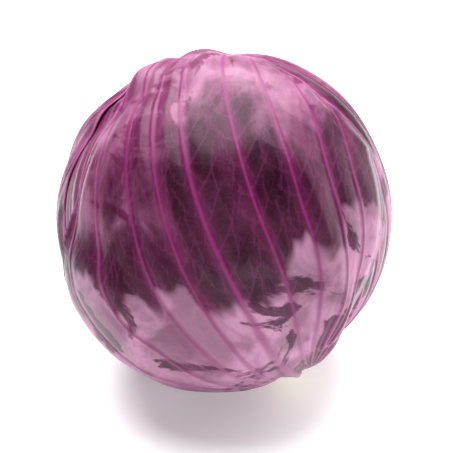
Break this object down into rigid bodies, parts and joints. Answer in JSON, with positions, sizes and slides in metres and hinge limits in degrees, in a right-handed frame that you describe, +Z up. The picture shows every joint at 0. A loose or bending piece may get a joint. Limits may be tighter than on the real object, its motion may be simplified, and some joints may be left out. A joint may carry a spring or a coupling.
{
  "type": "red cabbage",
  "caption": "Small round head of red cabbage, leaning at rest: overlapping ribbed purple wrapper leaves folded over a firm heart, with a cut stump.",
  "frame": {"origin": "centre of the object's footprint box, on the surface that the head rests on", "axes": "+Z up; -Y towards the side where the outermost leaf shows its fanned ribs; +X to the right of that view"},
  "size_m": [0.1018, 0.1064, 0.1031],
  "materials": {
    "leaf": "waxy fresh leaf, purple with magenta ribs and a pale bloom",
    "heart": "waxy fresh leaf, tightly folded",
    "stump": "cut stalk, cream, slightly moist"
  },
  "bodies": {
    "root": {"heart": "heart", "stump": "stump", "wrapper_leaf_1": "leaf", "wrapper_leaf_2": "leaf", "wrapper_leaf_3": "leaf", "wrapper_leaf_4": "leaf", "wrapper_leaf_5": "leaf"}
  },
  "joints": []
}
